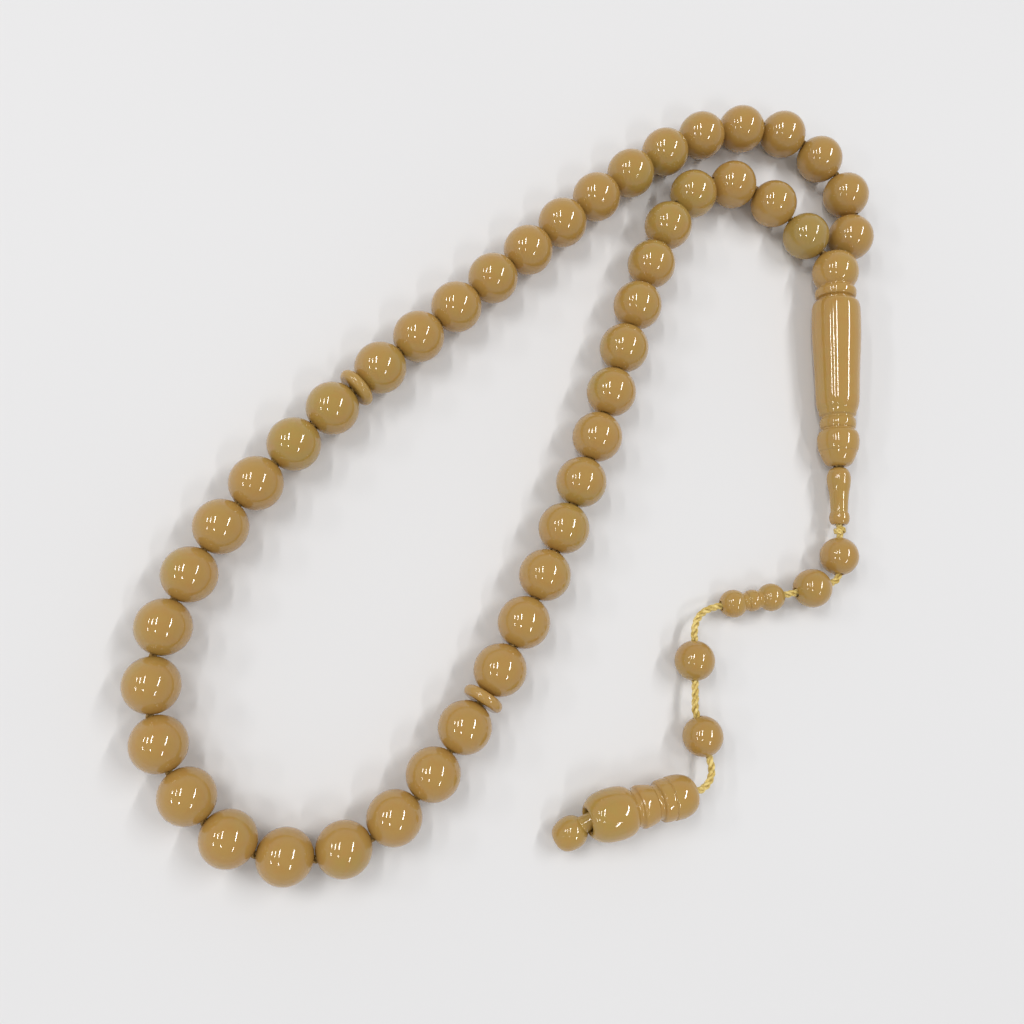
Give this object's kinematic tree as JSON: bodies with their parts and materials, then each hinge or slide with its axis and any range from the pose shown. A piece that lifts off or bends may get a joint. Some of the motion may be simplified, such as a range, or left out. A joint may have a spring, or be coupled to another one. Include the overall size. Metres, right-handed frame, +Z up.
{
  "type": "misbaha prayer beads",
  "caption": "String of round prayer beads on a loop of cord, with flat divider discs, a long turned head piece, and a tassel of small beads that ends in a turned bell with a peg.",
  "frame": {"origin": "centre of the object in plan, on the table surface that it lies on", "axes": "+Z up from the table; +Y along the imame from its tassel end towards the loop; +X to the right of that"},
  "size_m": [0.152, 0.1618, 0.0107],
  "materials": {
    "bead_resin": "polished ochre resin with faint cloudy swirls",
    "turned_resin": "polished ochre resin, turned on a lathe, faint turning lines",
    "thread": "twisted golden yellow thread with a slight sheen"
  },
  "bodies": {
    "string": {"loop_cord": "thread"},
    "imame": {"imame": "turned_resin", "imame_cord": "thread"},
    "tassel": {"tassel_cord": "thread", "stem_knot": "thread"},
    "bell": {"tassel_bell": "turned_resin"},
    "peg": {"bell_peg": "turned_resin"},
    "tassel_bead_3": {"tassel_bead_3": "bead_resin"},
    "tassel_bead_4": {"tassel_bead_4": "bead_resin"},
    "stem_bead": {"stem_bead": "turned_resin"},
    "tassel_bead_1": {"tassel_bead_1": "bead_resin"},
    "tassel_bead_2": {"tassel_bead_2": "bead_resin"},
    "double_bead": {"double_bead": "turned_resin"},
    "bead_01": {"bead_01": "bead_resin"},
    "bead_02": {"bead_02": "bead_resin"},
    "bead_03": {"bead_03": "bead_resin"},
    "bead_04": {"bead_04": "bead_resin"},
    "bead_05": {"bead_05": "bead_resin"},
    "bead_06": {"bead_06": "bead_resin"},
    "bead_07": {"bead_07": "bead_resin"},
    "bead_08": {"bead_08": "bead_resin"},
    "bead_09": {"bead_09": "bead_resin"},
    "bead_10": {"bead_10": "bead_resin"},
    "bead_11": {"bead_11": "bead_resin"},
    "bead_12": {"bead_12": "bead_resin"},
    "bead_13": {"bead_13": "bead_resin"},
    "bead_14": {"bead_14": "bead_resin"},
    "bead_15": {"bead_15": "bead_resin"},
    "divider_disc_1": {"divider_disc_1": "turned_resin"},
    "bead_16": {"bead_16": "bead_resin"},
    "bead_17": {"bead_17": "bead_resin"},
    "bead_18": {"bead_18": "bead_resin"},
    "bead_19": {"bead_19": "bead_resin"},
    "bead_20": {"bead_20": "bead_resin"},
    "bead_21": {"bead_21": "bead_resin"},
    "bead_22": {"bead_22": "bead_resin"},
    "bead_23": {"bead_23": "bead_resin"},
    "bead_24": {"bead_24": "bead_resin"},
    "bead_25": {"bead_25": "bead_resin"},
    "bead_26": {"bead_26": "bead_resin"},
    "bead_27": {"bead_27": "bead_resin"},
    "bead_28": {"bead_28": "bead_resin"},
    "bead_29": {"bead_29": "bead_resin"},
    "bead_30": {"bead_30": "bead_resin"},
    "divider_disc_2": {"divider_disc_2": "turned_resin"},
    "bead_31": {"bead_31": "bead_resin"},
    "bead_32": {"bead_32": "bead_resin"},
    "bead_33": {"bead_33": "bead_resin"},
    "bead_34": {"bead_34": "bead_resin"},
    "bead_35": {"bead_35": "bead_resin"},
    "bead_36": {"bead_36": "bead_resin"},
    "bead_37": {"bead_37": "bead_resin"},
    "bead_38": {"bead_38": "bead_resin"},
    "bead_39": {"bead_39": "bead_resin"},
    "bead_40": {"bead_40": "bead_resin"},
    "bead_41": {"bead_41": "bead_resin"},
    "bead_42": {"bead_42": "bead_resin"},
    "bead_43": {"bead_43": "bead_resin"},
    "bead_44": {"bead_44": "bead_resin"},
    "bead_45": {"bead_45": "bead_resin"}
  },
  "joints": [
    {"name": "imame_swing", "type": "hinge", "parent": "string", "child": "imame", "pos_m": [0.06616, 0.04366, 0.00567], "axis": [0, 0, 1], "range_deg": [-3, 20], "deforming": ["loop_cord"]},
    {"name": "tassel_swing", "type": "hinge", "parent": "imame", "child": "tassel", "pos_m": [0.06473, -0.00261, 0.00423], "axis": [0, 0, 1], "range_deg": [-4, 20], "deforming": ["imame_cord"]},
    {"name": "bell_swing", "type": "hinge", "parent": "tassel", "child": "bell", "pos_m": [0.02908, -0.06638, 0.00496], "axis": [0, 0, 1], "range_deg": [-20, 20], "deforming": ["tassel_cord"]},
    {"name": "peg_tilt", "type": "hinge", "parent": "bell", "child": "peg", "pos_m": [0.00771, -0.07118, 0.00496], "axis": [0.16, -0.7129, 0.6828], "range_deg": [-31, 0]},
    {"name": "tassel_bead_3_slide", "type": "slide", "parent": "tassel", "child": "tassel_bead_3", "axis": [-0.0203, -0.9998, 0], "range_m": [-0.001, 0.003]},
    {"name": "tassel_bead_4_slide", "type": "slide", "parent": "tassel", "child": "tassel_bead_4", "axis": [0.2783, -0.9605, 0], "range_m": [-0.0005, 0.0015]},
    {"name": "turn_stem_bead", "type": "hinge", "parent": "tassel", "child": "stem_bead", "pos_m": [0.0648, -0.00037, 0.0043], "axis": [-0.031, -0.999, -0.031], "continuous": true},
    {"name": "turn_tassel_bead_1", "type": "hinge", "parent": "tassel", "child": "tassel_bead_1", "pos_m": [0.06381, -0.01931, 0.00405], "axis": [-0.1239, -0.9911, 0.0477], "continuous": true},
    {"name": "turn_tassel_bead_2", "type": "hinge", "parent": "tassel", "child": "tassel_bead_2", "pos_m": [0.05709, -0.02622, 0.00415], "axis": [-0.9677, -0.2506, -0.0259], "continuous": true},
    {"name": "turn_double_bead", "type": "hinge", "parent": "tassel", "child": "double_bead", "pos_m": [0.04384, -0.029, 0.00321], "axis": [-0.9797, -0.1754, -0.0968], "continuous": true},
    {"name": "turn_bead_01", "type": "hinge", "parent": "string", "child": "bead_01", "pos_m": [0.05983, 0.05179, 0.00501], "axis": [-0.7323, 0.681, 0], "continuous": true},
    {"name": "turn_bead_02", "type": "hinge", "parent": "string", "child": "bead_02", "pos_m": [0.05235, 0.05857, 0.00501], "axis": [-0.8081, 0.5891, 0], "continuous": true},
    {"name": "turn_bead_03", "type": "hinge", "parent": "string", "child": "bead_03", "pos_m": [0.04281, 0.0619, 0.00501], "axis": [-0.9999, 0.016, 0], "continuous": true},
    {"name": "turn_bead_04", "type": "hinge", "parent": "string", "child": "bead_04", "pos_m": [0.03331, 0.05847, 0.00501], "axis": [-0.772, -0.6356, 0], "continuous": true},
    {"name": "turn_bead_05", "type": "hinge", "parent": "string", "child": "bead_05", "pos_m": [0.02724, 0.0504, 0.00501], "axis": [-0.4497, -0.8932, 0], "continuous": true},
    {"name": "turn_bead_06", "type": "hinge", "parent": "string", "child": "bead_06", "pos_m": [0.02321, 0.04114, 0.00501], "axis": [-0.3409, -0.9401, 0], "continuous": true},
    {"name": "turn_bead_07", "type": "hinge", "parent": "string", "child": "bead_07", "pos_m": [0.01986, 0.03161, 0.00501], "axis": [-0.316, -0.9488, 0], "continuous": true},
    {"name": "turn_bead_08", "type": "hinge", "parent": "string", "child": "bead_08", "pos_m": [0.0167, 0.02202, 0.00501], "axis": [-0.2979, -0.9546, 0], "continuous": true},
    {"name": "turn_bead_09", "type": "hinge", "parent": "string", "child": "bead_09", "pos_m": [0.01375, 0.01236, 0.00501], "axis": [-0.2955, -0.9554, 0], "continuous": true},
    {"name": "turn_bead_10", "type": "hinge", "parent": "string", "child": "bead_10", "pos_m": [0.0106, 0.00277, 0.00501], "axis": [-0.3281, -0.9446, 0], "continuous": true},
    {"name": "turn_bead_11", "type": "hinge", "parent": "string", "child": "bead_11", "pos_m": [0.00712, -0.00671, 0.00501], "axis": [-0.3555, -0.9347, 0], "continuous": true},
    {"name": "turn_bead_12", "type": "hinge", "parent": "string", "child": "bead_12", "pos_m": [0.00344, -0.01612, 0.00501], "axis": [-0.3738, -0.9275, 0], "continuous": true},
    {"name": "turn_bead_13", "type": "hinge", "parent": "string", "child": "bead_13", "pos_m": [-0.00046, -0.02544, 0.00501], "axis": [-0.3984, -0.9172, 0], "continuous": true},
    {"name": "turn_bead_14", "type": "hinge", "parent": "string", "child": "bead_14", "pos_m": [-0.00466, -0.03463, 0.00501], "axis": [-0.4322, -0.9018, 0], "continuous": true},
    {"name": "turn_bead_15", "type": "hinge", "parent": "string", "child": "bead_15", "pos_m": [-0.00928, -0.04361, 0.00501], "axis": [-0.4884, -0.8726, 0], "continuous": true},
    {"name": "turn_divider_disc_1", "type": "hinge", "parent": "string", "child": "divider_disc_1", "pos_m": [-0.0125, -0.0489, 0.00501], "axis": [-0.5393, -0.8421, 0], "continuous": true},
    {"name": "turn_bead_16", "type": "hinge", "parent": "string", "child": "bead_16", "pos_m": [-0.0159, -0.05409, 0.00501], "axis": [-0.5442, -0.8389, 0], "continuous": true},
    {"name": "turn_bead_17", "type": "hinge", "parent": "string", "child": "bead_17", "pos_m": [-0.02164, -0.06239, 0.00501], "axis": [-0.5999, -0.8001, 0], "continuous": true},
    {"name": "turn_bead_18", "type": "hinge", "parent": "string", "child": "bead_18", "pos_m": [-0.02852, -0.06979, 0.00501], "axis": [-0.7595, -0.6505, 0], "continuous": true},
    {"name": "turn_bead_19", "type": "hinge", "parent": "string", "child": "bead_19", "pos_m": [-0.03726, -0.07485, 0.00501], "axis": [-0.9476, -0.3195, 0], "continuous": true},
    {"name": "turn_bead_20", "type": "hinge", "parent": "string", "child": "bead_20", "pos_m": [-0.04732, -0.07581, 0.00501], "axis": [-0.9938, 0.1113, 0], "continuous": true},
    {"name": "turn_bead_21", "type": "hinge", "parent": "string", "child": "bead_21", "pos_m": [-0.05689, -0.07258, 0.00501], "axis": [-0.8389, 0.5443, 0], "continuous": true},
    {"name": "turn_bead_22", "type": "hinge", "parent": "string", "child": "bead_22", "pos_m": [-0.06403, -0.06545, 0.00501], "axis": [-0.6026, 0.798, 0], "continuous": true},
    {"name": "turn_bead_23", "type": "hinge", "parent": "string", "child": "bead_23", "pos_m": [-0.06917, -0.05675, 0.00501], "axis": [-0.3556, 0.9346, 0], "continuous": true},
    {"name": "turn_bead_24", "type": "hinge", "parent": "string", "child": "bead_24", "pos_m": [-0.07097, -0.04681, 0.00501], "axis": [-0.0117, 0.9999, 0], "continuous": true},
    {"name": "turn_bead_25", "type": "hinge", "parent": "string", "child": "bead_25", "pos_m": [-0.06964, -0.0368, 0.00501], "axis": [0.2807, 0.9598, 0], "continuous": true},
    {"name": "turn_bead_26", "type": "hinge", "parent": "string", "child": "bead_26", "pos_m": [-0.06581, -0.02745, 0.00501], "axis": [0.4494, 0.8933, 0], "continuous": true},
    {"name": "turn_bead_27", "type": "hinge", "parent": "string", "child": "bead_27", "pos_m": [-0.06092, -0.01861, 0.00501], "axis": [0.5315, 0.847, 0], "continuous": true},
    {"name": "turn_bead_28", "type": "hinge", "parent": "string", "child": "bead_28", "pos_m": [-0.05515, -0.01032, 0.00501], "axis": [0.6107, 0.7919, 0], "continuous": true},
    {"name": "turn_bead_29", "type": "hinge", "parent": "string", "child": "bead_29", "pos_m": [-0.0487, -0.00255, 0.00501], "axis": [0.662, 0.7495, 0], "continuous": true},
    {"name": "turn_bead_30", "type": "hinge", "parent": "string", "child": "bead_30", "pos_m": [-0.04187, 0.00489, 0.00501], "axis": [0.6945, 0.7195, 0], "continuous": true},
    {"name": "turn_divider_disc_2", "type": "hinge", "parent": "string", "child": "divider_disc_2", "pos_m": [-0.03749, 0.00928, 0.00501], "axis": [0.7125, 0.7016, 0], "continuous": true},
    {"name": "turn_bead_31", "type": "hinge", "parent": "string", "child": "bead_31", "pos_m": [-0.03306, 0.01362, 0.00501], "axis": [0.7178, 0.6962, 0], "continuous": true},
    {"name": "turn_bead_32", "type": "hinge", "parent": "string", "child": "bead_32", "pos_m": [-0.02577, 0.0206, 0.00501], "axis": [0.7286, 0.6849, 0], "continuous": true},
    {"name": "turn_bead_33", "type": "hinge", "parent": "string", "child": "bead_33", "pos_m": [-0.01836, 0.02747, 0.00501], "axis": [0.7358, 0.6772, 0], "continuous": true},
    {"name": "turn_bead_34", "type": "hinge", "parent": "string", "child": "bead_34", "pos_m": [-0.01095, 0.03433, 0.00501], "axis": [0.7312, 0.6822, 0], "continuous": true},
    {"name": "turn_bead_35", "type": "hinge", "parent": "string", "child": "bead_35", "pos_m": [-0.0036, 0.04125, 0.00501], "axis": [0.7255, 0.6882, 0], "continuous": true},
    {"name": "turn_bead_36", "type": "hinge", "parent": "string", "child": "bead_36", "pos_m": [0.00377, 0.04817, 0.00501], "axis": [0.7337, 0.6794, 0], "continuous": true},
    {"name": "turn_bead_37", "type": "hinge", "parent": "string", "child": "bead_37", "pos_m": [0.01128, 0.05491, 0.00501], "axis": [0.7545, 0.6563, 0], "continuous": true},
    {"name": "turn_bead_38", "type": "hinge", "parent": "string", "child": "bead_38", "pos_m": [0.01904, 0.06138, 0.00501], "axis": [0.7769, 0.6296, 0], "continuous": true},
    {"name": "turn_bead_39", "type": "hinge", "parent": "string", "child": "bead_39", "pos_m": [0.02709, 0.06748, 0.00501], "axis": [0.8158, 0.5783, 0], "continuous": true},
    {"name": "turn_bead_40", "type": "hinge", "parent": "string", "child": "bead_40", "pos_m": [0.03577, 0.07265, 0.00501], "axis": [0.9049, 0.4257, 0], "continuous": true},
    {"name": "turn_bead_41", "type": "hinge", "parent": "string", "child": "bead_41", "pos_m": [0.04542, 0.07563, 0.00501], "axis": [0.9817, 0.1906, 0], "continuous": true},
    {"name": "turn_bead_42", "type": "hinge", "parent": "string", "child": "bead_42", "pos_m": [0.05552, 0.0758, 0.00501], "axis": [0.9751, -0.2218, 0], "continuous": true},
    {"name": "turn_bead_43", "type": "hinge", "parent": "string", "child": "bead_43", "pos_m": [0.06439, 0.07097, 0.00501], "axis": [0.7628, -0.6466, 0], "continuous": true},
    {"name": "turn_bead_44", "type": "hinge", "parent": "string", "child": "bead_44", "pos_m": [0.07045, 0.06289, 0.00501], "axis": [0.3638, -0.9315, 0], "continuous": true},
    {"name": "turn_bead_45", "type": "hinge", "parent": "string", "child": "bead_45", "pos_m": [0.07091, 0.0528, 0.00501], "axis": [-0.2765, -0.961, 0], "continuous": true}
  ]
}
